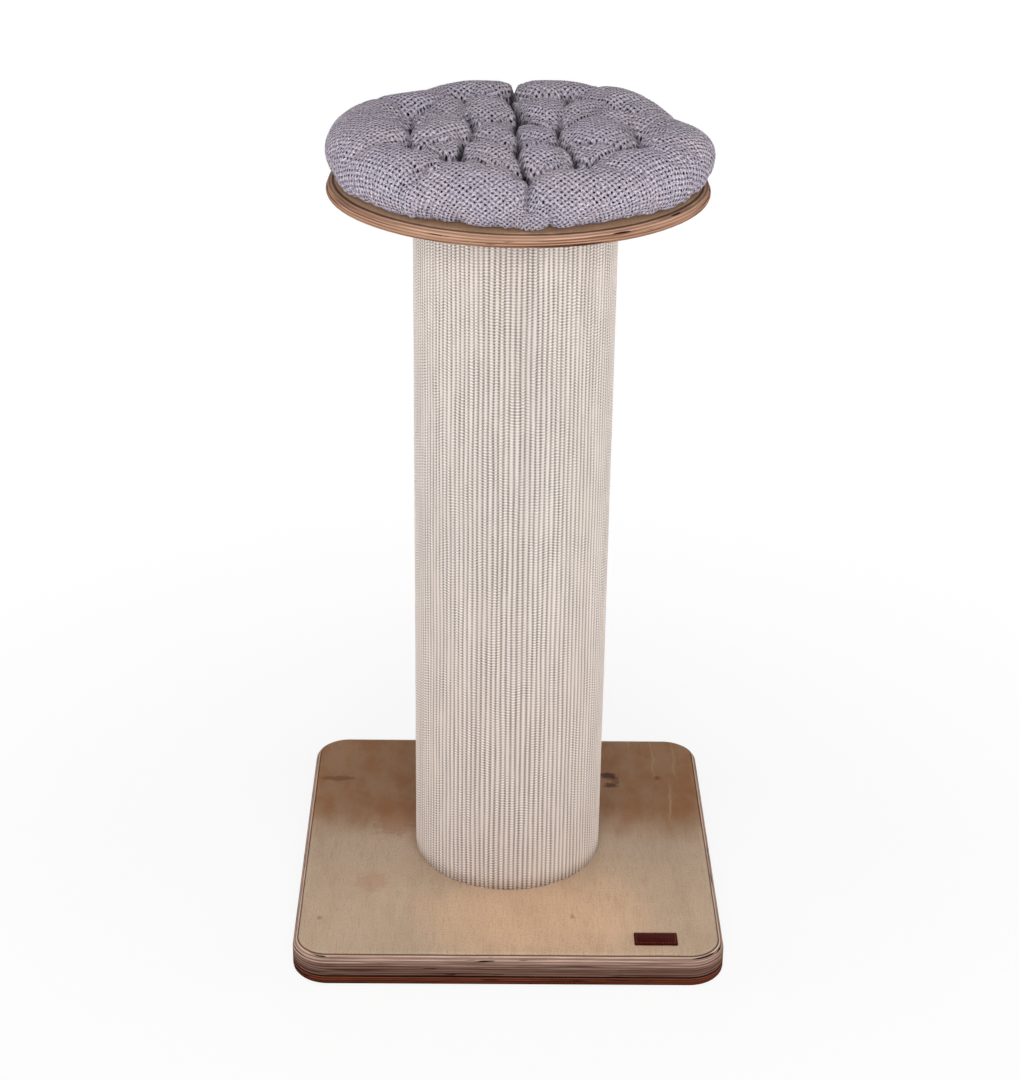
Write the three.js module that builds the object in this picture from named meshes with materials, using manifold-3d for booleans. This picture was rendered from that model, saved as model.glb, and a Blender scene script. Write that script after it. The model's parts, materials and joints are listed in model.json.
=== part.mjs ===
// Cat scratching post: a square plywood base of two boards, a cardboard column wrapped in a
// ribbed sisal mat, a round plywood platform and a loose round cushion.
// Millimetres, +Z up. The origin is the centre of the base's underside, and -Y is the front.

import * as THREE from "three";
import { mergeVertices } from "three/addons/utils/BufferGeometryUtils.js";
import Module from "manifold-3d";

const wasm = await Module();
wasm.setup();

// ---- driving dimensions -------------------------------------------------------------

const SEAT_GAP = 0.3; // left between pieces that rest on or in each other

const BASE_SIDE = 450;
const BASE_CORNER_RADIUS = 38;
const UNDERBOARD_THICKNESS = 12;
const BASE_BOARD_THICKNESS = 24;
const TOP_ROUND_OVER = 10;
const BOTTOM_ROUND_OVER = 5.5;
const EASED_ARRIS = 0.7; // chamfer on the two boards' meeting edges

const COLUMN_LENGTH = 750;
const TUBE_OUTER_RADIUS = 96;
const TUBE_WALL = 8;
const PLUG_THICKNESS = 24;

const MAT_CREST_RADIUS = 101.5;
const MAT_RIB_DEPTH = 1.4;
const MAT_RIB_COUNT = 122;
const MAT_SEAM_WIDTH = 1.2; // the open butt joint at the back
const STEPS_PER_RIB = 5;

const PLATFORM_RADIUS = 188;
const PLATFORM_THICKNESS = 12;
const PLATFORM_EDGE_ROUND = 1.5;
const PLATFORM_OFFSET_X = 2; // it sits slightly off the column's axis

const CUSHION_THICKNESS = 60;
const CUSHION_BULGE_RADIUS = 190;
const CUSHION_FOOT_RADIUS = 177;
const CUSHION_CROWN_RADIUS = 120; // where the top starts to roll over
const CUSHION_BULGE_HEIGHT = 25; // of the widest part, above the foot
const CUSHION_FOOT_TUCK = 6; // height of the control point that tucks the side under
const CUSHION_SHOULDER_HEIGHT = 48;
const CUSHION_OFFSET = new THREE.Vector2(3, 5); // it lies loose, a little right and back

const TAG_WIDTH = 45;
const TAG_DEPTH = 21;
const TAG_THICKNESS = 1.7;
const TAG_CORNER_RADIUS = 1.5;
const TAG_CENTRE = new THREE.Vector2(153.5, -192);

// Fasteners: radii and lengths along the shank, measured from the head's face.
const BASE_BOLT = { head: 9, headHeight: 2.4, shank: 4, length: 50, point: 1.2, socket: 2.9 };
const PLATFORM_SCREW = { head: 4.8, headHeight: 3, shank: 2.4, length: 30, point: 6, socket: 1.6 };
const UNDERBOARD_SCREW = { head: 4, headHeight: 2.6, shank: 2, length: 30, point: 5, socket: 1.4 };
const PLUG_SCREW = { head: 4, headHeight: 2.6, shank: 2, length: 35, point: 5, socket: 1.4 };
const SCREW_HEAD_RECESS = 0.5;

const BOLT_CIRCLE_RADIUS = 55;
const COUNTERBORE_RADIUS = 11;
const COUNTERBORE_DEPTH = 6;
const INSERT_RADIUS = 5.7;
const INSERT_LENGTH = 15;
const INSERT_HOLE_DEPTH = 21;
const UNDERBOARD_SCREW_OFFSET = 170; // from the centre, along X and along Y
const FASTENERS_PER_RING = 4;
const SOCKET_LOBES = 6;
const SOCKET_VALLEY = 0.72; // of the lobes' reach
const SOCKET_DEPTH = 0.7; // of the head's height

// ---- levels worked out from the driving dimensions ------------------------------------

const BASE_TOP = UNDERBOARD_THICKNESS + BASE_BOARD_THICKNESS;
const COLUMN_FOOT = BASE_TOP + SEAT_GAP;
const COLUMN_TOP = BASE_TOP + COLUMN_LENGTH;
const COLUMN_CUT_LENGTH = COLUMN_TOP - COLUMN_FOOT;
const PLATFORM_UNDERSIDE = COLUMN_TOP + SEAT_GAP;
const PLATFORM_TOP = COLUMN_TOP + PLATFORM_THICKNESS;
const CUSHION_FOOT = PLATFORM_TOP + SEAT_GAP;
const TUBE_INNER_RADIUS = TUBE_OUTER_RADIUS - TUBE_WALL;
const PLUG_RADIUS = TUBE_INNER_RADIUS - SEAT_GAP;

// ---- facets -----------------------------------------------------------------------------

const CORNER_SEGMENTS = 8;
const ROUND_OVER_SEGMENTS = 4;
const TUBE_SEGMENTS = 56;
const PLATFORM_SEGMENTS = 80;
const CUSHION_SEGMENTS = 48;
const FASTENER_SEGMENTS = 12;
const EASED_EDGE_SEGMENTS = 2;
const CUSHION_CURVE_STEPS = 5;
const TAG_CORNER_SEGMENTS = 4;
const CUT_THROUGH = 2; // how far a cutter runs past the face it opens
const ARRIS_CLEARANCE = 0.2; // how far the easing slab stands outside the board

// ---- solids -------------------------------------------------------------------------------

/** A closed geometry as a solid that can be cut. */
function solidOf(geometry) {
  const bare = geometry.clone();
  bare.deleteAttribute("normal");
  bare.deleteAttribute("uv");
  const merged = mergeVertices(bare);
  const mesh = new wasm.Mesh({
    numProp: 3,
    vertProperties: new Float32Array(merged.attributes.position.array),
    triVerts: new Uint32Array(merged.index.array),
  });
  return new wasm.Manifold(mesh);
}

/** The geometry of a solid that has been cut. */
function geometryOf(solid) {
  const { vertProperties, triVerts } = solid.getMesh();
  const geometry = new THREE.BufferGeometry();
  geometry.setAttribute("position", new THREE.BufferAttribute(vertProperties, 3));
  geometry.setIndex(new THREE.BufferAttribute(triVerts, 1));
  const faceted = geometry.toNonIndexed();
  faceted.computeVertexNormals();
  return faceted;
}

/** A geometry less every cutter in a list. */
function cut(geometry, cutters) {
  const body = cutters.reduce((solid, cutter) => solid.subtract(solidOf(cutter)), solidOf(geometry));
  return geometryOf(body);
}

/** A body of revolution about Z from [radius, z] pairs, listed upwards on the outside. */
function revolved(profile, segments) {
  const points = profile.map(([radius, z]) => new THREE.Vector2(radius, z));
  return new THREE.LatheGeometry(points, segments).rotateX(Math.PI / 2);
}

/** A solid cylinder that stands on z = from and ends at z = to. */
function cylinder(radius, from, to, segments = FASTENER_SEGMENTS) {
  return revolved([[0, from], [radius, from], [radius, to], [0, to]], segments);
}

/** A rectangle with rounded corners, centred on the origin. */
function roundedRectangle(width, depth, radius) {
  const x = width / 2 - radius;
  const y = depth / 2 - radius;
  const outline = new THREE.Shape();
  outline.absarc(x, y, radius, 0, Math.PI / 2);
  outline.absarc(-x, y, radius, Math.PI / 2, Math.PI);
  outline.absarc(-x, -y, radius, Math.PI, 1.5 * Math.PI);
  outline.absarc(x, -y, radius, 1.5 * Math.PI, 2 * Math.PI);
  return outline;
}

/** A point at a radius and angle about Z, at a level. */
function polar(radius, angle, z = 0) {
  return new THREE.Vector3(radius * Math.cos(angle), radius * Math.sin(angle), z);
}

/** Angles of a ring of fasteners, turned by an offset. */
function ringAngles(offset = 0) {
  const step = (2 * Math.PI) / FASTENERS_PER_RING;
  return Array.from({ length: FASTENERS_PER_RING }, (_, index) => offset + index * step);
}

/** The placement that turns +Z to a direction and moves the origin to a point. */
function placement(position, direction) {
  const turn = new THREE.Quaternion().setFromUnitVectors(new THREE.Vector3(0, 0, 1), direction);
  return new THREE.Matrix4().compose(position, turn, new THREE.Vector3(1, 1, 1));
}

// ---- fasteners: modelled with the head at the origin, facing +Z ---------------------------

/** A countersunk wood screw's profile, widened all round by a clearance. */
function screwProfile(screw, clearance = 0, over = 0) {
  const shank = screw.shank + clearance;
  const head = screw.head + clearance;
  const profile = [
    [0, -screw.length - clearance],
    [shank, -screw.length + screw.point],
    [shank, -screw.headHeight],
    [head, 0],
  ];
  if (over > 0) profile.push([head, over]);
  profile.push([0, over]);
  return profile;
}

/** The hole that a countersunk screw needs, open past its head. */
function screwHole(screw) {
  return revolved(screwProfile(screw, SEAT_GAP, CUT_THROUGH), FASTENER_SEGMENTS);
}

/** A six-lobed drive socket, cut down from the head's face. */
function driveSocket(radius, depth) {
  const corners = Array.from({ length: 2 * SOCKET_LOBES }, (_, index) => {
    const reach = index % 2 === 0 ? radius : radius * SOCKET_VALLEY;
    return polar(reach, (index * Math.PI) / SOCKET_LOBES);
  });
  const socket = new THREE.ExtrudeGeometry(new THREE.Shape(corners), {
    depth: depth + CUT_THROUGH,
    bevelEnabled: false,
  });
  return socket.translate(0, 0, -depth);
}

/** A countersunk wood screw. */
function woodScrew(screw) {
  const blank = revolved(screwProfile(screw), FASTENER_SEGMENTS);
  return cut(blank, [driveSocket(screw.socket, screw.headHeight * SOCKET_DEPTH)]);
}

/** A flat-headed machine bolt with a hexagon socket. */
function machineBolt(bolt) {
  const bearingFace = -bolt.headHeight;
  const tip = bearingFace - bolt.length;
  const blank = revolved(
    [
      [0, tip],
      [bolt.shank - bolt.point, tip],
      [bolt.shank, tip + bolt.point],
      [bolt.shank, bearingFace],
      [bolt.head, bearingFace],
      [bolt.head, -bolt.headHeight / 3],
      [bolt.head - bolt.headHeight / 3, 0],
      [0, 0],
    ],
    FASTENER_SEGMENTS,
  );
  return cut(blank, [cylinder(bolt.socket, -2 * bolt.headHeight, CUT_THROUGH, 6)]);
}

/** A threaded sleeve's plain envelope, standing on z = 0. */
function threadedInsert() {
  const bore = BASE_BOLT.shank + SEAT_GAP;
  return revolved(
    [[bore, 0], [INSERT_RADIUS, 0], [INSERT_RADIUS, INSERT_LENGTH], [bore, INSERT_LENGTH], [bore, 0]],
    FASTENER_SEGMENTS,
  );
}

// ---- where the fasteners sit ------------------------------------------------------------------

const UP = new THREE.Vector3(0, 0, 1);
const DOWN = new THREE.Vector3(0, 0, -1);

const DIAGONAL = Math.PI / 4;
const BOLT_HEAD_FACE = COUNTERBORE_DEPTH - SEAT_GAP - BASE_BOLT.headHeight;

/** One placement at each fastener of a ring about the column's axis. */
function ringSites(radius, offset, z, direction) {
  return ringAngles(offset).map((angle) => placement(polar(radius, angle, z), direction));
}

const baseBoltSites = ringSites(BOLT_CIRCLE_RADIUS, 0, BOLT_HEAD_FACE, DOWN);
const insertSites = ringSites(BOLT_CIRCLE_RADIUS, 0, COLUMN_FOOT + SEAT_GAP, UP);
const platformScrewSites = ringSites(BOLT_CIRCLE_RADIUS, 0, PLATFORM_TOP - SCREW_HEAD_RECESS, UP);
const underboardScrewSites = ringSites(
  UNDERBOARD_SCREW_OFFSET * Math.SQRT2,
  DIAGONAL,
  SCREW_HEAD_RECESS,
  DOWN,
);

/** Radial screws through the tube's wall at one height. */
function plugScrewSites(height) {
  const headRadius = TUBE_OUTER_RADIUS - SCREW_HEAD_RECESS;
  return ringAngles(DIAGONAL).map((angle) => placement(polar(headRadius, angle, height), polar(1, angle)));
}

const lowerPlugScrewSites = plugScrewSites(COLUMN_FOOT + PLUG_THICKNESS / 2);
const upperPlugScrewSites = plugScrewSites(COLUMN_TOP - PLUG_THICKNESS / 2);

/** One placed hole for each site. */
function holesAt(sites, screw) {
  return sites.map((site) => screwHole(screw).applyMatrix4(site));
}

/** One straight hole on each base bolt's axis. */
function boltHoles(radius, from, to) {
  return ringAngles().map((angle) => {
    const centre = polar(BOLT_CIRCLE_RADIUS, angle);
    return cylinder(radius, from, to).translate(centre.x, centre.y, 0);
  });
}

// ---- base -------------------------------------------------------------------------------------

/** A square slab with both faces' edges rounded over or chamfered, between two levels. */
function edgedSlab(bottom, top, edge, segments, oversize = 0) {
  const side = BASE_SIDE + 2 * oversize;
  const outline = roundedRectangle(side, side, BASE_CORNER_RADIUS + oversize);
  const slab = new THREE.ExtrudeGeometry(outline, {
    depth: top - bottom - 2 * edge,
    bevelThickness: edge,
    bevelSize: edge,
    bevelOffset: -edge,
    bevelSegments: segments,
    curveSegments: CORNER_SEGMENTS,
  });
  return slab.translate(0, 0, bottom + edge);
}

/** A square board with one face's edge rounded over and the other face's arris eased. */
function edgedBoard(bottom, top, roundOver, roundedSide) {
  // Two slabs, each twice too thick: one brings the rounded face, the other the eased one.
  const thickness = top - bottom;
  const below = roundedSide > 0 ? bottom - thickness : bottom;
  const rounded = edgedSlab(below, below + 2 * thickness, roundOver, ROUND_OVER_SEGMENTS);
  const above = roundedSide > 0 ? bottom : bottom - thickness;
  const chamfer = EASED_ARRIS + ARRIS_CLEARANCE;
  const eased = edgedSlab(above, above + 2 * thickness, chamfer, 1, ARRIS_CLEARANCE);
  return geometryOf(solidOf(rounded).intersect(solidOf(eased)));
}

/** The lower board: bottom edge rounded, counterbored for the bolts. */
function baseUnderboard() {
  const top = UNDERBOARD_THICKNESS - SEAT_GAP;
  return cut(edgedBoard(0, top, BOTTOM_ROUND_OVER, -1), [
    ...boltHoles(COUNTERBORE_RADIUS, -CUT_THROUGH, COUNTERBORE_DEPTH),
    ...boltHoles(BASE_BOLT.shank + SEAT_GAP, 0, top + CUT_THROUGH),
    ...holesAt(underboardScrewSites, UNDERBOARD_SCREW),
  ]);
}

/** The upper board: top edge rounded over. */
function baseBoard() {
  return cut(edgedBoard(UNDERBOARD_THICKNESS, BASE_TOP, TOP_ROUND_OVER, 1), [
    ...boltHoles(BASE_BOLT.shank + SEAT_GAP, 0, BASE_TOP + CUT_THROUGH),
    ...holesAt(underboardScrewSites, UNDERBOARD_SCREW),
  ]);
}

/** The bare leather tag on the base. */
function leatherTag() {
  const outline = roundedRectangle(TAG_WIDTH, TAG_DEPTH, TAG_CORNER_RADIUS);
  const slab = new THREE.ExtrudeGeometry(outline, {
    depth: TAG_THICKNESS,
    bevelEnabled: false,
    curveSegments: TAG_CORNER_SEGMENTS,
  });
  return slab.translate(TAG_CENTRE.x, TAG_CENTRE.y, BASE_TOP + SEAT_GAP);
}

// ---- column -------------------------------------------------------------------------------------

/** The cardboard tube, drilled for the radial screws. */
function coreTube() {
  const wall = revolved(
    [
      [TUBE_INNER_RADIUS, COLUMN_FOOT],
      [TUBE_OUTER_RADIUS, COLUMN_FOOT],
      [TUBE_OUTER_RADIUS, COLUMN_TOP],
      [TUBE_INNER_RADIUS, COLUMN_TOP],
      [TUBE_INNER_RADIUS, COLUMN_FOOT],
    ],
    TUBE_SEGMENTS,
  );
  return cut(wall, [
    ...holesAt(lowerPlugScrewSites, PLUG_SCREW),
    ...holesAt(upperPlugScrewSites, PLUG_SCREW),
  ]);
}

/** The plywood disc in the tube's foot, with blind holes for the threaded inserts. */
function bottomPlug() {
  const disc = cylinder(PLUG_RADIUS, COLUMN_FOOT, COLUMN_FOOT + PLUG_THICKNESS, TUBE_SEGMENTS);
  return cut(disc, [
    ...boltHoles(INSERT_RADIUS + SEAT_GAP, BASE_TOP - CUT_THROUGH, COLUMN_FOOT + INSERT_HOLE_DEPTH),
    ...holesAt(lowerPlugScrewSites, PLUG_SCREW),
  ]);
}

/** The plywood disc in the tube's head, which takes the platform's screws. */
function topPlug() {
  const disc = cylinder(PLUG_RADIUS, COLUMN_TOP - PLUG_THICKNESS, COLUMN_TOP, TUBE_SEGMENTS);
  return cut(disc, [
    ...holesAt(platformScrewSites, PLATFORM_SCREW),
    ...holesAt(upperPlugScrewSites, PLUG_SCREW),
  ]);
}

/**
 * The mat: a flat ribbed sheet wrapped once round the tube. Its section is an open ring whose
 * outside is a row of half-sine ribs, and the slit at the back is the butt joint.
 */
function sisalMat() {
  const inner = TUBE_OUTER_RADIUS + SEAT_GAP;
  const halfSlit = MAT_SEAM_WIDTH / 2 / MAT_CREST_RADIUS;
  const start = Math.PI / 2 + halfSlit;
  const sweep = 2 * Math.PI - 2 * halfSlit;
  const outerSteps = MAT_RIB_COUNT * STEPS_PER_RIB;
  const section = [];
  for (let step = 0; step <= outerSteps; step += 1) {
    const phase = (step % STEPS_PER_RIB) / STEPS_PER_RIB;
    const radius = MAT_CREST_RADIUS - MAT_RIB_DEPTH * (1 - Math.sin(Math.PI * phase));
    section.push(polar(radius, start + (sweep * step) / outerSteps));
  }
  for (let step = TUBE_SEGMENTS; step >= 0; step -= 1) {
    section.push(polar(inner, start + (sweep * step) / TUBE_SEGMENTS));
  }
  const sleeve = new THREE.ExtrudeGeometry(new THREE.Shape(section), {
    depth: COLUMN_CUT_LENGTH,
    bevelEnabled: false,
  });
  return sleeve.translate(0, 0, COLUMN_FOOT);
}

// ---- platform and cushion ---------------------------------------------------------------------

/** The round platform with eased edges, countersunk for its screws. */
function platform() {
  const ease = PLATFORM_EDGE_ROUND;
  const easedEdge = (centreZ, from) =>
    Array.from({ length: EASED_EDGE_SEGMENTS + 1 }, (_, step) => {
      const angle = from + (Math.PI / 2) * (step / EASED_EDGE_SEGMENTS);
      return [PLATFORM_RADIUS - ease + ease * Math.cos(angle), centreZ + ease * Math.sin(angle)];
    });
  const profile = [
    [0, PLATFORM_UNDERSIDE],
    ...easedEdge(PLATFORM_UNDERSIDE + ease, -Math.PI / 2),
    ...easedEdge(PLATFORM_TOP - ease, 0),
    [0, PLATFORM_TOP],
  ];
  const disc = revolved(profile, PLATFORM_SEGMENTS).translate(PLATFORM_OFFSET_X, 0, 0);
  return cut(disc, holesAt(platformScrewSites, PLATFORM_SCREW));
}

/** The cushion's plain envelope: a flat foot, a bulging side and a gently crowned top. */
function cushion() {
  const top = CUSHION_FOOT + CUSHION_THICKNESS;
  const bulge = new THREE.Vector2(CUSHION_BULGE_RADIUS, CUSHION_FOOT + CUSHION_BULGE_HEIGHT);
  const side = new THREE.CurvePath();
  side.add(
    new THREE.QuadraticBezierCurve(
      new THREE.Vector2(CUSHION_FOOT_RADIUS, CUSHION_FOOT),
      new THREE.Vector2(CUSHION_BULGE_RADIUS, CUSHION_FOOT + CUSHION_FOOT_TUCK),
      bulge,
    ),
  );
  side.add(
    new THREE.CubicBezierCurve(
      bulge,
      new THREE.Vector2(CUSHION_BULGE_RADIUS, CUSHION_FOOT + CUSHION_SHOULDER_HEIGHT),
      new THREE.Vector2((CUSHION_BULGE_RADIUS + CUSHION_CROWN_RADIUS) / 2, top),
      new THREE.Vector2(CUSHION_CROWN_RADIUS, top),
    ),
  );
  const profile = side.getPoints(CUSHION_CURVE_STEPS).map((point) => [point.x, point.y]);
  return revolved([[0, CUSHION_FOOT], ...profile, [0, top]], CUSHION_SEGMENTS)
    .translate(CUSHION_OFFSET.x, CUSHION_OFFSET.y, 0);
}

// ---- materials ----------------------------------------------------------------------------------

/** A painted or natural finish. */
function finish(color, roughness, metalness = 0) {
  return () => new THREE.MeshStandardMaterial({ color, roughness, metalness });
}

const birchFace = finish("#b89a7c", 0.55);
const darkPlywood = finish("#8a5f48", 0.65);
const rawPlywood = finish("#c8ad86", 0.75);
const cardboard = finish("#a98a63", 0.9);
const sisal = finish("#cdc2b6", 0.95);
const lilacFabric = finish("#9e95a4", 0.95);
const tagLeather = finish("#4a1a14", 0.6);
const zincSteel = finish("#b9bcc0", 0.35, 0.9);
const yellowZinc = finish("#c2a45c", 0.4, 0.9);

// ---- assembly ---------------------------------------------------------------------------------------

/** Adds one named piece to a group. */
function add(group, name, geometry, material, site = new THREE.Matrix4()) {
  const mesh = new THREE.Mesh(geometry, material());
  mesh.name = name;
  mesh.applyMatrix4(site);
  group.add(mesh);
}

/** Adds one numbered copy of a piece at each site. */
function addAtSites(group, name, makeGeometry, material, sites) {
  sites.forEach((site, index) => add(group, `${name}_${index + 1}`, makeGeometry(), material, site));
}

const base = new THREE.Group();
add(base, "base_underboard", baseUnderboard(), darkPlywood);
add(base, "base_board", baseBoard(), birchFace);
add(base, "leather_tag", leatherTag(), tagLeather);
addAtSites(base, "underboard_screw", () => woodScrew(UNDERBOARD_SCREW), yellowZinc, underboardScrewSites);
addAtSites(base, "base_bolt", () => machineBolt(BASE_BOLT), zincSteel, baseBoltSites);

const column = new THREE.Group();
add(column, "core_tube", coreTube(), cardboard);
add(column, "sisal_mat", sisalMat(), sisal);
add(column, "bottom_plug", bottomPlug(), rawPlywood);
add(column, "top_plug", topPlug(), rawPlywood);
addAtSites(column, "base_insert", threadedInsert, yellowZinc, insertSites);
addAtSites(column, "plug_screw_lower", () => woodScrew(PLUG_SCREW), yellowZinc, lowerPlugScrewSites);
addAtSites(column, "plug_screw_upper", () => woodScrew(PLUG_SCREW), yellowZinc, upperPlugScrewSites);

const seat = new THREE.Group();
add(seat, "platform", platform(), birchFace);
add(seat, "cushion", cushion(), lilacFabric);
addAtSites(seat, "platform_screw", () => woodScrew(PLATFORM_SCREW), yellowZinc, platformScrewSites);

const post = new THREE.Group();
post.add(base, column, seat);

export default post;
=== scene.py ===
"""Looks of a cat scratching post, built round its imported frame.

The base's boards and the platform are smoothed copies of the frame's nodes, the mat is a ribbed
sheet wrapped round the tube, and the tufted cushion is sewn, stuffed and creased here. Metres, +Z up.
"""

from __future__ import annotations

import json
import logging
import math
import random
from dataclasses import dataclass, field
from enum import Enum
from typing import Any, Callable, Sequence

import bmesh
import bpy
import numpy as np
from mathutils import Matrix, Vector, noise

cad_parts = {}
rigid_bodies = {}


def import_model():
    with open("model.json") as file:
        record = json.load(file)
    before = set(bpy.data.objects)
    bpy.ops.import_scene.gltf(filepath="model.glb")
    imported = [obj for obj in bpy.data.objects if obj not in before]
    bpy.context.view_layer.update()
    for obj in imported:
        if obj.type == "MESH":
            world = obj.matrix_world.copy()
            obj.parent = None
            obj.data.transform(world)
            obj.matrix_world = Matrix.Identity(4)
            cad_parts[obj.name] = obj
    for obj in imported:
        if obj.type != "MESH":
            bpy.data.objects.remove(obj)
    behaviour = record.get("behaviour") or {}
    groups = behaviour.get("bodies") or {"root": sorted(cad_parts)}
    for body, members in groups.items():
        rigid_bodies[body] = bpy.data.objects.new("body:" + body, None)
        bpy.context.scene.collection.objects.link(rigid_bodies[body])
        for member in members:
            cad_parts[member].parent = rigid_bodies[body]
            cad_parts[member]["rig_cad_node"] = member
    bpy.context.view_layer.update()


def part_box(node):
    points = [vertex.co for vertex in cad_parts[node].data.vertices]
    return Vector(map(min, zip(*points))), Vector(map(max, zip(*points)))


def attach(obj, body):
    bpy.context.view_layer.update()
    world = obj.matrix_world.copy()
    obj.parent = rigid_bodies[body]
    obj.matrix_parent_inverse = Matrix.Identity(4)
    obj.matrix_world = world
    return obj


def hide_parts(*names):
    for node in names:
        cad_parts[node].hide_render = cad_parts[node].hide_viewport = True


LOG = logging.getLogger("scratching_post")
MM = 0.001

Colour = tuple[float, float, float, float]
WHITE: Colour = (1.0, 1.0, 1.0, 1.0)


def srgb(red: int, green: int, blue: int) -> Colour:
    """A display colour of 0 to 255 per channel as the linear colour that shaders take."""

    def linear(channel: int) -> float:
        """One channel, by the sRGB curve."""
        share = channel / 255
        return share / 12.92 if share <= 0.04045 else ((share + 0.055) / 1.055) ** 2.4

    return (linear(red), linear(green), linear(blue), 1.0)


# ---- shader graphs ----


def operation(kind: str, reflected: bool = False) -> Callable[[Signal, Any], Signal]:
    """A Signal method that adds a Math node.

    Args:
        kind: The node's operation.
        reflected: Whether the other value comes first.

    Returns:
        The method.
    """

    def method(self: Signal, other: Any) -> Signal:
        """The operation on self and other."""
        return self.graph.math(kind, *((other, self) if reflected else (self, other)))

    return method


class Signal:
    """A node's output that can be used in Python expressions on single values."""

    def __init__(self, graph: Graph, socket: bpy.types.NodeSocket) -> None:
        """Holds the graph to add nodes to and the socket to read."""
        self.graph = graph
        self.socket = socket

    __add__ = __radd__ = operation("ADD")
    __sub__ = operation("SUBTRACT")
    __rsub__ = operation("SUBTRACT", reflected=True)
    __mul__ = __rmul__ = operation("MULTIPLY")
    __truediv__ = operation("DIVIDE")
    __mod__ = operation("FLOORED_MODULO")

    def __abs__(self) -> Signal:
        """The size of self."""
        return self.graph.math("ABSOLUTE", self)


class Graph:
    """The node tree of a material or a world."""

    def __init__(self, owner: bpy.types.Material | bpy.types.World) -> None:
        """Empties the tree of its owner."""
        owner.use_nodes = True
        self.owner = owner
        self.tree = owner.node_tree
        self.tree.nodes.clear()

    def node(
        self,
        kind: str,
        settings: dict[str, Any] | None = None,
        sockets: dict[Any, Any] | None = None,
        output: int | str = 0,
    ) -> Signal:
        """Adds one node.

        Args:
            kind: The node's type.
            settings: Its properties.
            sockets: A value or a Signal for each named or numbered input.
            output: The output to return.

        Returns:
            The chosen output.
        """
        made = set_all(self.tree.nodes.new(kind), **(settings or {}))
        for key, value in (sockets or {}).items():
            if isinstance(value, Signal):
                self.tree.links.new(value.socket, made.inputs[key])
            else:
                made.inputs[key].default_value = value
        return Signal(self, made.outputs[output])

    def wave(self, value: Signal, rate: float = math.tau) -> Signal:
        """A cosine wave of 0 to 1."""
        return self.math("COSINE", value * rate) * 0.5 + 0.5

    def math(self, operation: str, *values: Any) -> Signal:
        """One Math node on one or two values."""
        return self.node("ShaderNodeMath", {"operation": operation}, dict(enumerate(values)))

    def step(self, low: float, high: float, value: Any) -> Signal:
        """A smooth step of value from 0 at low to 1 at high."""
        settings = {"interpolation_type": "SMOOTHSTEP", "clamp": True}
        sockets = {"Value": value, "From Min": low, "From Max": high, "To Min": 0.0, "To Max": 1.0}
        return self.node("ShaderNodeMapRange", settings, sockets)

    def mix(self, share: Any, first: Any, second: Any) -> Signal:
        """Mixes two colours by a share."""
        settings = {"data_type": "RGBA", "clamp_factor": True}
        return self.node("ShaderNodeMix", settings, {0: share, 6: first, 7: second}, output=2)

    def layered(self, colour: Any, *layers: tuple[Any, Any]) -> Signal:
        """Lays further colours over a first one, in turn.

        Args:
            colour: The first colour.
            *layers: The share and the colour of each.

        Returns:
            The mixed colour.
        """
        for share, over in layers:
            colour = self.mix(share, colour, over)
        return colour

    def place(self) -> Signal:
        """The point on the object, in metres."""
        return self.node("ShaderNodeTexCoord", output="Object")

    def attribute(self, name: str) -> Signal:
        """A named attribute of the mesh."""
        return self.node("ShaderNodeAttribute", {"attribute_name": name}, output="Vector")

    def axes(self, vector: Signal) -> tuple[Signal, Signal, Signal]:
        """The x, y and z of a vector."""
        split = self.node("ShaderNodeSeparateXYZ", None, {0: vector}).socket.node
        return tuple(Signal(self, socket) for socket in split.outputs)

    def vector(self, x: Any, y: Any, z: Any = 0.0) -> Signal:
        """A vector from its values."""
        return self.node("ShaderNodeCombineXYZ", None, {0: x, 1: y, 2: z})

    def length(self, vector: Signal) -> Signal:
        """How long a vector is."""
        return self.node("ShaderNodeVectorMath", {"operation": "LENGTH"}, {0: vector}, output="Value")

    def stretched(self, vector: Signal, scale: Sequence[float], at: Sequence[float] = (0, 0, 0)) -> Signal:
        """A vector scaled along its axes and then moved."""
        return self.node("ShaderNodeMapping", None, {"Vector": vector, "Scale": scale, "Location": at})

    def noise(self, vector: Signal, scale: float, detail: float = 2.0, rough: float = 0.5) -> Signal:
        """Fractal noise of 0 to 1 with this many cells to a metre."""
        sockets = {"Vector": vector, "Scale": scale, "Detail": detail, "Roughness": rough}
        return self.node("ShaderNodeTexNoise", None, sockets)

    def chance(self, **cell: Signal) -> Signal:
        """A random value of 0 to 1 for each whole number W, or for each Vector of two."""
        settings = {"noise_dimensions": "1D" if "W" in cell else "2D"}
        return self.node("ShaderNodeTexWhiteNoise", settings, cell, output="Value")

    def surface(
        self, colour: Any, roughness: Any, height: Signal, relief: float, shine: float, metallic: float = 0.0
    ) -> bpy.types.Material:
        """Ends the graph in a Principled shader.

        Args:
            colour: Its base colour.
            roughness: Its roughness.
            height: A height of 0 to 1 that bends the normal.
            relief: The distance in metres that this height stands for.
            shine: Strength of its mirror light.
            metallic: 1 for a metal.

        Returns:
            The finished material.
        """
        sockets = {"Height": height, "Distance": relief, "Strength": 1.0}
        normal = self.node("ShaderNodeBump", None, sockets)
        sockets = {"Base Color": colour, "Roughness": roughness, "Metallic": metallic, "Normal": normal}
        sockets["Specular IOR Level"] = shine
        return self.finish(self.node("ShaderNodeBsdfPrincipled", None, sockets))

    def finish(self, shader: Signal, kind: str = "ShaderNodeOutputMaterial") -> bpy.types.ID:
        """Links a shader to a new output node and returns the tree's owner."""
        output = self.tree.nodes.new(kind)
        self.tree.links.new(shader.socket, output.inputs["Surface"])
        return self.owner


# ---- finishes ----


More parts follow.
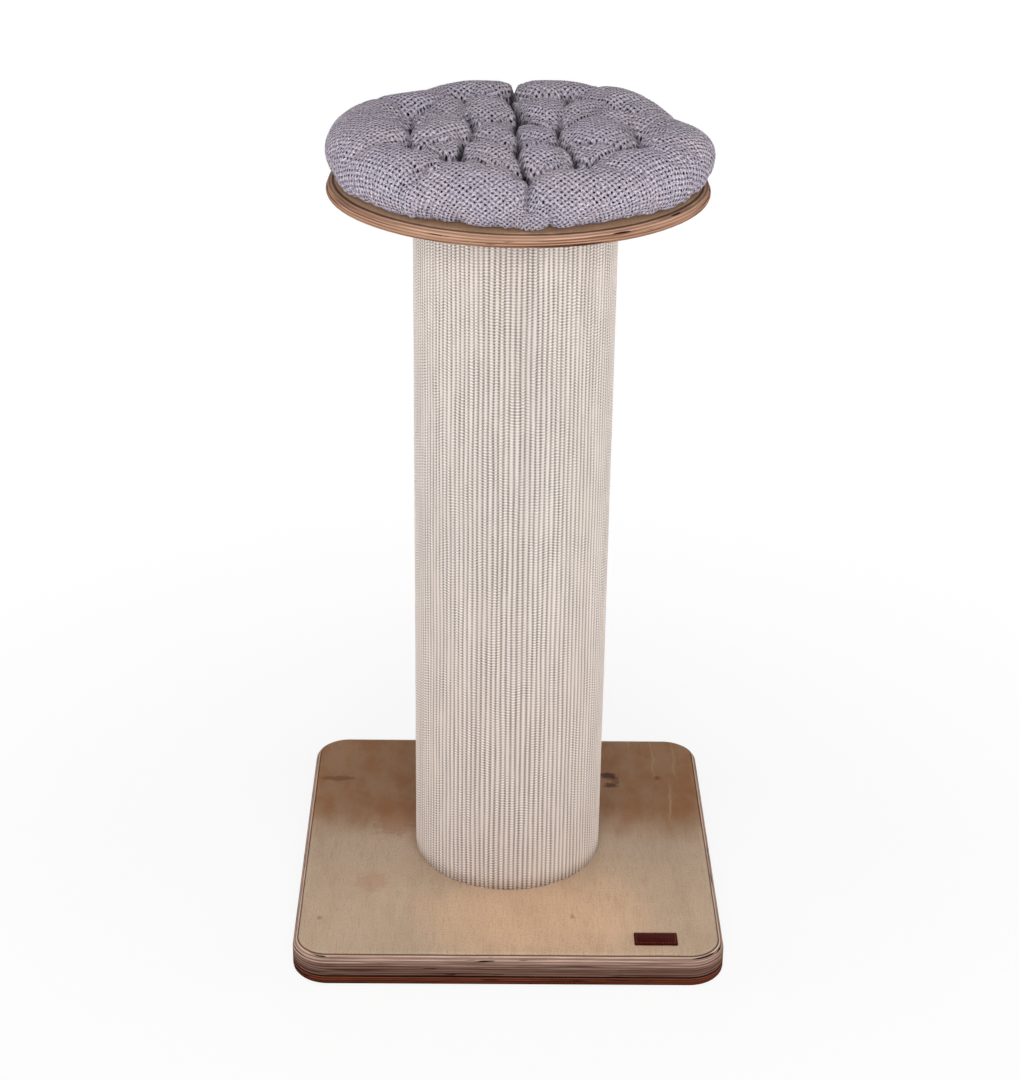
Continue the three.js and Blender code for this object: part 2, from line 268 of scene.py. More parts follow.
@dataclass(frozen=True)
class Mark:
    """A knot or a blemish in a face veneer: a ragged spot, in metres."""

    x: float  # its place from left to right
    y: float  # its place from front to back
    width: float  # its reach along X
    length: float  # its reach along Y
    strength: float  # how much of its colour covers the veneer
    colour: Colour  # its colour


@dataclass(frozen=True)
class Plywood:
    """Lacquered birch plywood: face veneers over cross-laid plies that show on every cut edge."""

    name: str
    top: float  # height of the board's upper face
    bottom: float  # height of its lower face
    face: Colour = srgb(188, 166, 143)
    face_light_pool: Colour = srgb(217, 181, 149)  # painted pool of light, warmer and paler, in front of the column's foot
    face_grain: Colour = srgb(140, 110, 84)
    face_shadowed: Colour = srgb(137, 90, 50)  # painted shadow of the platform over the back
    blotch: Colour = srgb(184, 140, 118)
    flame: Colour = srgb(184, 152, 118)  # pale streaks in the painted shadow
    back_shadow: float = 0.0  # how much of the painted shadow shows
    edge_light: Colour = srgb(200, 172, 156)  # long-grain plies
    edge_dark: Colour = srgb(112, 78, 64)  # end-grain plies
    edge_line: Colour = srgb(50, 22, 14)  # glue lines
    edge_shade_low: Colour = srgb(72, 38, 28)  # painted shade that the lowest plies lean to
    low_shading: float = 0.76  # how far they do
    void: Colour = srgb(24, 10, 8)  # open voids in an edge
    arris: Colour = srgb(232, 206, 186)  # the first ply under the face veneer, paler also as a painted highlight along the rounded edge
    veneer: float = 1.3 * MM
    ply: float = 1.45 * MM
    joint: float = -1.0  # height of a dark joint line, where the board reaches it
    joint_line: Colour = srgb(26, 9, 6)
    relief: float = 0.12 * MM
    roughness: float = 0.62
    shine: float = 0.05  # strength of its mirror light
    marks: tuple[Mark, ...] = ()

    def build(self) -> bpy.types.Material:
        """Makes the material."""
        g = Graph(bpy.data.materials.new(self.name))
        place = g.place()
        z = g.axes(place)[2]
        face, fibre = self._face(g, place)

        # Plies by depth under the face; they waver a little along the edge.
        waver = (g.noise(g.stretched(place, (14, 14, 60)), 1.0, 2) - 0.5) * (0.5 * MM)
        depth = self.top - z + waver
        under = depth - self.veneer
        layer = under / self.ply
        turn = g.math("FLOOR", layer) % 2.0
        along = g.noise(g.stretched(place, (26, 26, 1400)), 1.0, 3, 0.65)
        streak = g.noise(g.stretched(place, (9, 9, 800), (0, 0, 5)), 1.0, 2, 0.5)
        uneven = (g.noise(g.stretched(place, (11, 11, 300), (2, 9, 0)), 1.0, 2) - 0.5) * 0.7
        # Painted shade: the plies darken towards the board's lower face, as under light from above.
        low_shade = g.step(0.0, 0.72, depth / (self.top - self.bottom) + uneven)
        void = g.step(0.68, 0.71, g.noise(g.stretched(place, (22, 22, 440), (7, 2, 1)), 1.0, 1))
        edge = g.layered(
            self.edge_light,
            (turn * 0.6, self.edge_dark),
            (g.step(0.35, 0.75, along) * 0.55, self.edge_dark),
            (low_shade * self.low_shading, self.edge_shade_low),
            (g.step(0.51, 0.63, streak) * (0.4 + low_shade * 0.5), self.edge_line),
            (g.step(0.12, 0.0, layer % 1.0) * 0.5, self.edge_line),
            (void, self.void),
            # The first ply, paler also as a painted highlight along the rounded edge.
            (g.step(1.3 * MM, 0.2 * MM, under) * 0.75, self.arris),
        )
        under_veneer = g.step(-0.12 * MM, 0.12 * MM, under)
        veneer_line = g.step(0.75 * MM, 0.25 * MM, abs(under))
        colour = g.layered(
            face,
            (under_veneer, edge),
            (veneer_line * 0.85, self.edge_line),
            (g.step(1.15 * MM, 0.75 * MM, abs(z - self.joint)), self.joint_line),
        )
        height = fibre * 0.5 + along * under_veneer * 0.8 - veneer_line * 0.6 - void
        roughness = self.roughness + under_veneer * 0.14
        return g.surface(colour, roughness, height, self.relief, self.shine)

    def _face(self, g: Graph, place: Signal) -> tuple[Signal, Signal]:
        """Builds the face veneer, whose fibre runs along Y.

        Args:
            g: The material's graph.
            place: The point on the board.

        Returns:
            The veneer's colour and its fibre.
        """
        x, y, _ = g.axes(place)
        figure = g.noise(g.stretched(place, (46, 9, 1)), 1.0, 4, 0.6)
        fibre = g.noise(g.stretched(place, (620, 40, 1)), 1.0, 3, 0.65)
        cloud = g.noise(g.stretched(place, (13, 8, 1), (3.1, 1.7, 0)), 1.0, 3, 0.55)
        blotch = g.noise(g.stretched(place, (30, 16, 1), (8.4, 0.7, 0)), 1.0, 3, 0.6)
        speckle = g.noise(g.stretched(place, (640, 420, 1), (0.4, 2.2, 0)), 1.0, 2, 0.7)
        # Painted light: a warmer, paler pool on the front of the face, in front of the column's foot.
        from_middle = g.length(g.stretched(place, (8.5, 11.5, 0), (-0.35, 1.75, 0)))
        # Painted shadow of the platform: the face darkens behind a ragged line across the board.
        border = y + (cloud - 0.5) * 0.09 + (figure - 0.5) * 0.04
        shadow_share = g.step(-0.02, 0.075, border) * (0.75 + g.step(0.3, 0.7, blotch) * 0.25)
        face = g.layered(
            self.face,
            (g.step(1.5, 0.35, from_middle + (cloud - 0.5) * 0.9) * 0.85, self.face_light_pool),
            (g.step(0.4, 0.72, cloud) * 0.16, self.face_grain),
            (g.step(0.55, 0.75, blotch) * 0.22, self.blotch),
            (g.step(0.42, 0.78, figure) * 0.16, self.face_grain),
            (g.step(0.48, 0.76, fibre) * 0.32, self.face_grain),
            (g.step(0.48, 0.66, speckle) * 0.36, self.face_grain),
            (shadow_share * self.back_shadow, self.face_shadowed),
        )
        if self.back_shadow > 0:
            # Pale flames run back along the right side.
            sway = x + (g.noise(g.vector(y * 14.0, 0.0, 2.0), 1.0, 2) - 0.5) * 0.03
            comb = g.noise(g.vector(sway * 160.0, y * 5.0, 7.0), 1.0, 2)
            side = g.step(0.12, 0.15, x) * g.step(0.215, 0.19, x) * g.step(-0.02, 0.05, y)
            face = g.mix(g.step(0.55, 0.72, comb) * side * 0.45, face, self.flame)
        ragged = g.noise(place, 150.0, 3, 0.6) - 0.5
        for mark in self.marks:
            scale = (1 / mark.width, 1 / mark.length, 0)
            from_mark = g.stretched(place, scale, (-mark.x / mark.width, -mark.y / mark.length, 0))
            spot = g.step(1.1, 0.45, g.length(from_mark) + ragged * 1.6)
            face = g.mix(spot * mark.strength, face, mark.colour)
        return face, fibre


@dataclass(frozen=True)
class RibbedSisal:
    """Sisal yarn looped over the mat's ribs, read from the mat's own coordinates."""

    name: str = "ribbed_sisal"
    yarn: Colour = srgb(226, 217, 211)  # a yarn's crown
    tint: Colour = srgb(212, 203, 198)  # slightly darker stretches
    loop_highlight: Colour = srgb(250, 245, 240)  # painted highlight on the palest loops
    shade: Colour = srgb(156, 142, 134)  # painted shade between the ribs and on the loops' low sides
    hole_shade: Colour = srgb(62, 46, 38)  # painted shade in the holes between the loops
    straw: Colour = srgb(204, 180, 156)  # stray darker fibres
    foot_shade: Colour = srgb(196, 170, 156)  # painted shade, darker and warmer towards the foot
    loop: float = 3.15 * MM  # height of one loop along a rib
    relief: float = 0.8 * MM
    roughness: float = 0.9
    shine: float = 0.1

    def build(self) -> bpy.types.Material:
        """Makes the material: the attribute holds (rib number, height, 0)."""
        g = Graph(bpy.data.materials.new(self.name))
        rib, up, _ = g.axes(g.attribute("weave"))
        number = g.math("FLOOR", rib)
        across = rib % 1.0 - 0.5
        swell = g.math("COSINE", across * math.pi)
        turns = up / self.loop

        # Between two ribs the loops leave a chain of holes, painted dark as shade, open in some stretches
        # only.
        gap = g.math("ROUND", rib)
        aside = abs(rib - gap)
        open_here = g.step(0.4, 0.56, g.noise(g.vector(gap * 0.31, up * 17.0, 9.0), 1.0, 3, 0.6))
        drift = g.noise(g.vector(gap * 2.3, up * 12.0, 4.0), 1.0, 1) * 1.5
        beat = g.wave(turns + g.chance(W=gap + 2.0) + drift)
        groove = g.step(0.34, 0.06, aside)
        hole_shade = g.step(0.36, 0.05, aside) * g.step(0.3, 0.75, beat) * (0.5 + open_here * 0.3)

        # On a rib the two sides of a loop slope to its middle, up or down by stretches.
        lean = 1.1 - g.step(0.45, 0.55, g.noise(g.vector(number * 0.4, up * 9.0, 5.0), 1.0, 2)) * 2.2
        strand = g.wave(turns + abs(across) * lean + g.chance(W=number + 7.0))
        looped = g.step(0.36, 0.6, g.noise(g.vector(number * 0.37, up * 19.0, 1.0), 1.0, 3, 0.6))

        fibre = g.noise(g.vector(rib * 9.0, up * 1100.0), 1.0, 3, 0.6)
        tone = g.noise(g.vector(number * 0.23, up * 4.0), 1.0, 3, 0.6)
        colour = g.layered(
            self.yarn,
            (g.step(0.38, 0.66, tone) * 0.7, self.tint),
            (g.chance(W=number) * 0.14, self.straw),
            (g.step(0.6, 0.85, fibre) * 0.25, self.straw),
            # Painted shade: darker and warmer towards the foot.
            (g.step(0.5, 0.05, up) * 0.32, self.foot_shade),
            # Painted highlight on the loops' crowns.
            (g.step(0.55, 0.95, strand) * swell * (0.25 + looped * 0.6), self.loop_highlight),
            # Painted shade on the loops' low sides and between the ribs.
            (g.step(0.45, 0.0, strand) * looped * 0.5, self.shade),
            (groove * 0.38, self.shade),
            # Painted shade in the holes.
            (hole_shade * 0.7, self.hole_shade),
        )
        height = swell * 0.3 + strand * (0.15 + looped * 0.35) + fibre * 0.12 - hole_shade * 0.6
        return g.surface(colour, self.roughness, height, self.relief, self.shine)


@dataclass(frozen=True)
class WaffleCloth:
    """Soft grey-lilac upholstery cloth: a diagonal basket of yarns with a pit at each crossing."""

    name: str = "waffle_cloth"
    yarn: Colour = srgb(182, 168, 184)
    cool: Colour = srgb(170, 161, 183)  # bluer patches
    pale_and_highlight: Colour = srgb(244, 238, 247)  # pale fibres, and a painted highlight on the crowns and plies
    # Painted shade in the pits, between the plies, in the grooves and in the folds; also dark specks.
    pit_shade: Colour = srgb(22, 14, 20)
    gap: float = 6.0 * MM  # distance between the pits along a row
    relief: float = 1.3 * MM
    roughness: float = 0.95
    shine: float = 0.05

    def build(self) -> bpy.types.Material:
        """Makes the material, which reads the point on the flat cut cloth and how deep it lies in a fold, as
        painted shade.
        """
        g = Graph(bpy.data.materials.new(self.name))
        cloth = g.attribute("cloth")
        u, v, _ = g.axes(cloth)
        waver = (g.noise(cloth, 90.0, 2) - 0.5) * 0.5
        warp, weft = (u + v) / self.gap + waver, (u - v) / self.gap - waver
        lattice = g.math("COSINE", warp * math.tau) + g.math("COSINE", weft * math.tau)
        crossing = g.vector(g.math("ROUND", warp), g.math("ROUND", weft))
        # Painted shade in the pit at each crossing.
        pit_shade = g.step(0.65, 1.4, lattice) * (0.5 + g.chance(Vector=crossing) * 0.5)
        row, column = g.math("FLOOR", warp), g.math("FLOOR", weft)
        crosswise = warp + (weft - warp) * ((row + column) % 2.0)
        ply = g.wave(crosswise, 6 * math.pi)
        speck = g.noise(cloth, 520.0, 2, 0.7)
        fibre = g.noise(cloth, 1300.0, 2, 0.65)
        hollow, _, _ = g.axes(g.attribute("hollow"))
        colour = g.layered(
            self.yarn,
            (g.step(0.3, 0.7, g.noise(cloth, 22.0, 2)), self.cool),
            (g.step(0.5, 0.62, speck) * 0.85, self.pale_and_highlight),
            # Painted highlight on the yarns' plies; further down, on the bumps' crowns.
            (g.step(0.35, 1.0, ply) * 0.3, self.pale_and_highlight),
            (g.step(0.48, 0.34, speck) * 0.55, self.pit_shade),
            (g.step(0.55, 0.75, fibre) * 0.2, self.pale_and_highlight),
            # Painted shade between the plies and in the grooves between the bumps.
            ((1.0 - ply) * 0.22 + g.chance(Vector=g.vector(row, column)) * 0.1, self.pit_shade),
            (g.step(-0.6, 0.9, lattice) * 0.12, self.pit_shade),
            (g.step(-0.5, -1.6, lattice) * 0.15, self.pale_and_highlight),
            (pit_shade, self.pit_shade),
            # Painted shade in the folds and tufts.
            (hollow * 0.95, self.pit_shade),
        )
        height = (1.0 - pit_shade) + ply * 0.3 + speck * 0.5
        return g.surface(colour, self.roughness, height, self.relief, self.shine)


@dataclass(frozen=True)
class Grained:
    """A plain stuff with a fine random grain, such as leather, card, thread or plated steel."""

    name: str
    light: Colour  # its lighter colour
    dark: Colour  # its darker colour
    scale: float  # grains to a metre
    depth: float  # depth of the grain
    roughness: float  # how dull it is
    metallic: float = 0.0  # 1 for a metal
    shine: float = 0.5  # how strong its mirror light is
    stretch: tuple[float, float, float] = (1.0, 1.0, 1.0)  # how the grain is stretched along X, Y and Z

    def build(self) -> bpy.types.Material:
        """Makes the material."""
        g = Graph(bpy.data.materials.new(self.name))
        place = g.stretched(g.place(), self.stretch)
        grain = g.noise(place, self.scale, 3, 0.6)
        patch = g.noise(place, self.scale / 12, 2)
        colour = g.mix(g.step(0.35, 0.7, grain * 0.6 + patch * 0.4), self.light, self.dark)
        roughness = self.roughness + (grain - 0.5) * 0.15
        return g.surface(colour, roughness, grain, self.depth, self.shine, self.metallic)


# ---- mesh helpers ----


def set_all(target: Any, **values: Any) -> Any:
    """Sets several properties of one thing and returns it."""
    for key, value in values.items():
        setattr(target, key, value)
    return target


def placed(name: str, data: Any) -> bpy.types.Object:
    """A new object in the scene."""
    made = bpy.data.objects.new(name, data)
    bpy.context.scene.collection.objects.link(made)
    return made


def mesh_from(work: bmesh.types.BMesh) -> bpy.types.Mesh:
    """Turns a bmesh into a mesh and frees it."""
    mesh = bpy.data.meshes.new("mesh")
    work.to_mesh(mesh)
    work.free()
    return mesh


def piece_of(mesh: bpy.types.Mesh, name: str, material: bpy.types.Material) -> bpy.types.Object:
    """Puts a mesh in the scene as a smooth-shaded piece.

    Args:
        mesh: The mesh.
        name: The piece's name.
        material: Its finish.

    Returns:
        The piece.
    """
    mesh.name = name
    mesh.materials.clear()
    mesh.materials.append(material)
    mesh.shade_smooth()
    return placed(name, mesh)


def evaluated_mesh(source: bpy.types.Object) -> bpy.types.Mesh:
    """Reads a working object as its modifiers leave it.

    Args:
        source: The object, which is removed.

    Returns:
        The new mesh.
    """
    bpy.context.view_layer.update()
    graph = bpy.context.evaluated_depsgraph_get()
    mesh = bpy.data.meshes.new_from_object(source.evaluated_get(graph))
    bpy.data.objects.remove(source)
    return mesh


def modified(mesh: bpy.types.Mesh, kind: str, **settings: Any) -> bpy.types.Mesh:
    """Makes a new mesh of another by one modifier.

    Args:
        mesh: The other mesh.
        kind: The modifier's type.
        **settings: Its properties.

    Returns:
        The new mesh.
    """
    source = placed(mesh.name, mesh)
    set_all(source.modifiers.new(kind.lower(), kind), **settings)
    return evaluated_mesh(source)


def rows_of(items: Any, name: str = "vector") -> np.ndarray:
    """Reads the vectors of a mesh.

    Args:
        items: Its points, its point normals or the data of an attribute.
        name: The property that holds the vector.

    Returns:
        One row to a vector.
    """
    flat = np.empty(len(items) * 3, dtype=np.float32)
    items.foreach_get(name, flat)
    return flat.reshape(-1, 3).astype(float)


def points_of(mesh: bpy.types.Mesh) -> np.ndarray:
    """A mesh's points as an array of rows."""
    return rows_of(mesh.vertices, "co")


def set_points(mesh: bpy.types.Mesh, points: np.ndarray) -> None:
    """Moves a mesh's points to the rows of an array."""
    mesh.vertices.foreach_set("co", points.ravel())
    mesh.update()


def store_vectors(mesh: bpy.types.Mesh, name: str, *columns: np.ndarray) -> None:
    """Stores one vector to a point under a name that a material can read."""
    attribute = mesh.attributes.new(name, "FLOAT_VECTOR", "POINT")
    attribute.data.foreach_set("vector", np.stack(columns, axis=1).astype(np.float32).ravel())


def smooth(low: float, high: float, value: np.ndarray) -> np.ndarray:
    """A smooth step from 0 at low to 1 at high."""
    share = np.clip((value - low) / (high - low), 0, 1)
    return share * share * (3 - 2 * share)


def smooth_copy(node: str, material: bpy.types.Material, body: str) -> bpy.types.Object:
    """Stands a merged, smooth-shaded copy in for a rigid node of the frame.

    Args:
        node: The frame's node.
        material: The copy's finish.
        body: The body it rides on.

    Returns:
        The copy.
    """
    work = bmesh.new()
    work.from_mesh(bpy.data.objects[node].data)
    bmesh.ops.remove_doubles(work, verts=work.verts, dist=0.02 * MM)
    sharp = math.radians(35)
    for edge in work.edges:
        edge.smooth = edge.calc_face_angle(math.pi) < sharp
    piece = piece_of(mesh_from(work), f"{node}_finished", material)
    weighted = piece.modifiers.new("weighted_normals", "WEIGHTED_NORMAL")
    set_all(weighted, keep_sharp=True, weight=100)
    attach(piece, body)
    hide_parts(node)
    return piece


# ---- sub-assemblies ----


class Body(Enum):
    """The frame's bodies."""

    POST = "post"
    CUSHION = "cushion"


@dataclass
class Boards:
    """The two base boards and the round platform, in plywood."""

    small_round: float = 1.5 * MM  # radius of the frame's round on the platform's rim
    rim_round: float = 9 * MM  # radius of the finished platform's upper rim

    def build(self) -> list[bpy.types.Object]:
        """Stands finished boards in for the frame's."""
        made = []
        for node, slot, finish in (
            ("base_board", "birch_plywood", self._base_board_finish()),
            ("base_underboard", "underboard_plywood", self._underboard_finish()),
            ("platform", "birch_plywood", self._platform_finish()),
        ):
            made.append(smooth_copy(node, finish.build(), Body.POST.value))
        self._round_over(made[-1])
        return made

    def _round_over(self, platform: bpy.types.Object) -> None:
        """Widens the small round of the platform's upper rim, so that its plies run over the edge.

        Args:
            platform: The finished platform.
        """
        low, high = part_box("platform")
        radius, middle = (high.x - low.x) / 2, (low + high) / 2
        grown, slop = self.rim_round / self.small_round, 0.05 * MM
        for vert in platform.data.vertices:
            out = Vector((vert.co.x - middle.x, vert.co.y - middle.y))
            inside = radius - self.small_round - out.length
            below = high.z - self.small_round - vert.co.z
            if inside < slop and below < slop:
                vert.co.xy = middle.xy + out.normalized() * (radius - self.rim_round - inside * grown)
                vert.co.z = high.z - self.rim_round - below * grown

    @staticmethod
    def _base_board_finish() -> Plywood:
        """The upper board: pale lacquered face with a painted shadow of the platform over its back, rounded
        edge that bares the plies.
        """
        low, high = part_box("base_board")
        knot, bark = srgb(66, 24, 13), srgb(92, 50, 30)
        marks = (
            Mark(0.119, 0.137, 0.011, 0.008, 0.9, knot),
            Mark(0.121, 0.116, 0.010, 0.007, 0.8, knot),
            Mark(0.126, 0.128, 0.006, 0.012, 0.5, knot),
            Mark(0.175, 0.133, 0.004, 0.006, 0.6, bark),
            Mark(-0.193, 0.128, 0.024, 0.006, 0.55, bark),
            Mark(-0.199, -0.155, 0.003, 0.004, 0.4, bark),
            Mark(0.068, -0.150, 0.003, 0.005, 0.4, bark),
            Mark(-0.147, -0.086, 0.024, 0.022, 0.35, srgb(172, 122, 98)),
            Mark(-0.125, 0.045, 0.034, 0.05, 0.45, srgb(146, 94, 62)),
        )
        joint = low.z - 0.15 * MM
        return Plywood(
            "base_plywood", top=high.z, bottom=low.z, back_shadow=0.9, joint=joint, marks=marks
        )

    @staticmethod
    def _underboard_finish() -> Plywood:
        """The lower board: darker, redder plies under a pale first one; their darkness is partly painted
        shade.
        """
        low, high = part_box("base_underboard")
        return Plywood(
            "underboard_plywood",
            top=high.z,
            bottom=low.z,
            face=srgb(150, 112, 84),
            edge_light=srgb(132, 68, 44),
            edge_dark=srgb(34, 11, 6),
            edge_line=srgb(12, 4, 3),
            edge_shade_low=srgb(58, 20, 11),
            low_shading=0.5,
            arris=srgb(152, 94, 66),
            veneer=0.5 * MM,
            joint=high.z + 0.15 * MM,
        )

    @staticmethod
    def _platform_finish() -> Plywood:
        """The platform: a thinner board of warmer plies, with a paler face that is partly painted light
        against the shade under the cushion.
        """
        low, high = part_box("platform")
        return Plywood(
            "platform_plywood",
            top=high.z,
            bottom=low.z,
            face=srgb(228, 190, 154),
            face_light_pool=srgb(228, 190, 154),
            face_grain=srgb(186, 144, 112),
            edge_light=srgb(206, 170, 146),
            edge_dark=srgb(124, 86, 64),
            edge_line=srgb(82, 42, 28),
            edge_shade_low=srgb(140, 100, 76),
            low_shading=0.4,
            arris=srgb(218, 186, 162),
            veneer=0.8 * MM,
            ply=1.2 * MM,
        )


@dataclass
class SisalMat:
    """The ribbed mat, modelled flat and wrapped once round the tube."""

    ribs: int = 122  # number of ribs round the column
    steps: int = 6  # mesh columns in one rib
    rows: int = 44  # mesh rows from foot to head
    relief: float = 1.1 * MM  # height of a rib over its valleys
    seam: float = 1.2 * MM  # width of the butt joint at the back
    thickness: float = 3.6 * MM  # thickness of the mat behind a valley
    wander: float = 0.22  # how far a rib strays sideways, as a share of a rib

    def build(self) -> bpy.types.Object:
        """Makes the mat and stands it in for the frame's."""
        low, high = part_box("sisal_mat")
        crest = (high.x - low.x) / 2
        work = bmesh.new()
        columns = self.ribs * self.steps
        bmesh.ops.create_grid(work, x_segments=columns, y_segments=self.rows, size=0.5)
        mesh = mesh_from(work)
        flat = points_of(mesh)
        rib = (flat[:, 0] + 0.5) * self.ribs
        up = (flat[:, 1] + 0.5) * (high.z - low.z)
        stray, swell = self._irregular(rib, up)
        half_seam = self.seam / 2 / crest
        turn = (rib + stray) / self.ribs * (math.tau - 2 * half_seam)
        angle = math.pi / 2 + half_seam + turn
        lobe = np.abs(np.sin(math.pi * rib))
        radius = crest - self.relief * (1 - lobe * swell)
        wrapped = np.stack([radius * np.cos(angle), radius * np.sin(angle), low.z + up], axis=1)
        set_points(mesh, wrapped)
        store_vectors(mesh, "weave", rib, up, 0 * rib)
        mat = piece_of(mesh, "sisal_mat_woven", RibbedSisal().build())
        set_all(mat.modifiers.new("thickness", "SOLIDIFY"), thickness=self.thickness, offset=-1)
        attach(mat, Body.POST.value)
        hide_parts("sisal_mat")
        return mat

    def _irregular(self, rib: np.ndarray, up: np.ndarray) -> tuple[np.ndarray, np.ndarray]:
        """How each point's rib strays sideways and how full it is.

        Args:
            rib: Rib coordinate of each point.
            up: Height of each point on the mat.

        Returns:
            The sideways shift in ribs, 0 at the seam, and the fullness of the rib.
        """
        stray = np.empty_like(rib)
        swell = np.empty_like(rib)
        for index, (across, height) in enumerate(zip(rib, up)):
            drift = noise.noise(Vector((across * 0.21, height * 7.0, 1.3)))
            lurch = noise.noise(Vector((across * 0.9, height * 16.0, 8.1)))
            stray[index] = drift + 0.6 * lurch
            swell[index] = 0.9 + 0.2 * noise.noise(Vector((round(across) * 1.7, height * 22.0, 4.4)))
        fade = np.clip(np.minimum(rib, self.ribs - rib) / 2, 0, 1)
        return stray * self.wander * fade, np.clip(swell, 0.0, 1.0)


@dataclass(frozen=True)
class Tuft:
    """A point where thread draws the cushion's top down, in millimetres from its centre."""

    x: float
    y: float
    depth: float


@dataclass(frozen=True)
class Crease:
    """A fold that runs from one tuft to another and rises to a depth of its own between them."""

    start: str
    end: str
    depth: float


@dataclass(frozen=True)
class Sag:
    """A broad slump of the stuffing, in millimetres from the cushion's centre."""

    x: float
    y: float
    reach: float
    depth: float


@dataclass(frozen=True)
class Pucker:
    """An upright gather in the cushion's wall: its angle in degrees, the rest in millimetres."""

    angle: float
    depth: float
    width: float
    height: float


@dataclass
class Cushion:
    """The round cushion: a stuffed cover that two rings of tufts draw into pillows."""

    tufts: dict[str, Tuft]  # the stitched points and three where a fold only runs out
    creases: list[Crease]  # the folds between them
    puckers: list[Pucker]  # the gathers round its foot
    sags: list[Sag]  # where the rim has slumped
    bulge: float = 188 * MM  # radius of the unstuffed cover at its widest
    foot_radius: float = 186 * MM  # radius where it meets the platform
    crown: float = 50 * MM  # height of its top over its foot
    waist: float = 20 * MM  # height at which it is widest
    shoulder: float = 40 * MM  # radius of its upper edge
    voxel: float = 4.6 * MM  # edge length of the mesh that is stuffed
    pressure: float = 60.0  # how hard the stuffing pushes
    slack: float = 0.12  # share by which the cloth is cut larger than the cover
    frames: int = 24  # steps of the stuffing
    rim_share: float = 0.6  # how much of the swelling the rim keeps
    furthest: float = 13 * MM  # the most that a point may swell
    fold_width: float = 8 * MM  # half the width of a fold as it is drawn in
    tuft_width: float = 15 * MM  # the same round a tuft
    groove: float = 0.75  # share of a fold's depth that is pressed in again once the cover is full
    groove_width: float = 4 * MM  # half the width of that groove
    bowl: float = 1.0  # depth of the broad hollow round a tuft, as a share of the tuft's depth
    bowl_width: float = 25 * MM  # half the width of that hollow
    wrinkle: float = 1.1 * MM  # height of the small wrinkles that run into a tuft
    weave_gap: float = 6.0 * MM  # distance between the weave's pits along a row
    weave_depth: float = 0.7 * MM  # depth of a pit
    foot_round: float = 8 * MM  # reach of its lower edge under the wall
    dish: float = 4 * MM  # how far its crown is let down in the middle
    segments: int = 120  # of the unstuffed cover, round its axis
    easing: float = 1.4  # how much the cloth is eased in towards its rim
    sway: float = 2.2 * MM  # how far a fold strays from its straight way
    top_band: tuple[float, float] = (18 * MM, 42 * MM)  # heights between which the folds begin
    groove_band: tuple[float, float] = (16 * MM, 34 * MM)  # the same for the grooves
    rim_band: tuple[float, float] = (125 * MM, 165 * MM)  # radii between which the rim begins
    wall_band: tuple[float, float] = (150 * MM, 165 * MM)  # the same for the gathered wall
    seat: float = 166 * MM  # radius of the underside that lies flat
    sewn_reach: float = 3 * MM  # how close to a fold the thread holds the cloth
    sewn_depth: float = 6 * MM  # how deep the cloth must lie there
    foot_lift: float = 0.3  # how far a gather lifts the foot, as a share of its depth
    middle: np.ndarray = field(init=False)  # the centre of its foot

    def build(self) -> bpy.types.Object:
        """Makes the cushion and stands it in for the frame's."""
        low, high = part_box("cushion")
        self.middle = np.array([(low.x + high.x) / 2, (low.y + high.y) / 2, low.z])
        mesh = self._blank()
        self._lay_cloth(mesh)
        plain = points_of(mesh)
        pinned = self._draw_down(mesh)
        mesh = self._stuff(mesh, pinned, plain)
        mesh = modified(mesh, "SUBSURF", levels=2, render_levels=2)
        self._press_grooves(mesh)
        self._gather_foot(mesh)
        self._raise_weave(mesh)
        piece = piece_of(mesh, "tufted_cushion", WaffleCloth(gap=self.weave_gap).build())
        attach(piece, Body.CUSHION.value)
        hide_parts("cushion")
        return piece

    def _profile(self) -> np.ndarray:
        """The unstuffed cover's outline as rows of (radius, height), from the top's centre down."""
        across, fall = self.bulge - self.shoulder, self.crown - self.waist
        turn = np.linspace(math.pi / 2, 0, 14)
        upper = np.stack([across + self.shoulder * np.cos(turn), self.waist + fall * np.sin(turn)], 1)
        tuck = self.foot_radius - self.foot_round
        turn = np.linspace(0, -math.pi / 2, 12)[1:]
        lower = np.stack(
            [tuck + (self.bulge - tuck) * np.cos(turn), self.waist + self.waist * np.sin(turn)], 1
        )
        crown = [(0.0, self.crown - self.dish), (across / 2, self.crown - self.dish / 4)]
        return np.vstack([crown, upper, lower, [(0.0, 0.0)]])

    def _blank(self) -> bpy.types.Mesh:
        """An even mesh of the unstuffed cover."""
        work = bmesh.new()
        verts = [work.verts.new((radius, 0, height)) for radius, height in self._profile()]
        edges = [work.edges.new(pair) for pair in zip(verts, verts[1:])]
        turn = {"axis": (0, 0, 1), "cent": (0, 0, 0), "angle": math.tau, "use_merge": True}
        bmesh.ops.spin(work, geom=verts + edges, steps=self.segments, **turn)
        bmesh.ops.remove_doubles(work, verts=work.verts, dist=0.05 * MM)
        bmesh.ops.recalc_face_normals(work, faces=work.faces)
        bmesh.ops.translate(work, verts=work.verts, vec=Vector(self.middle))
        return modified(mesh_from(work), "REMESH", mode="VOXEL", voxel_size=self.voxel)

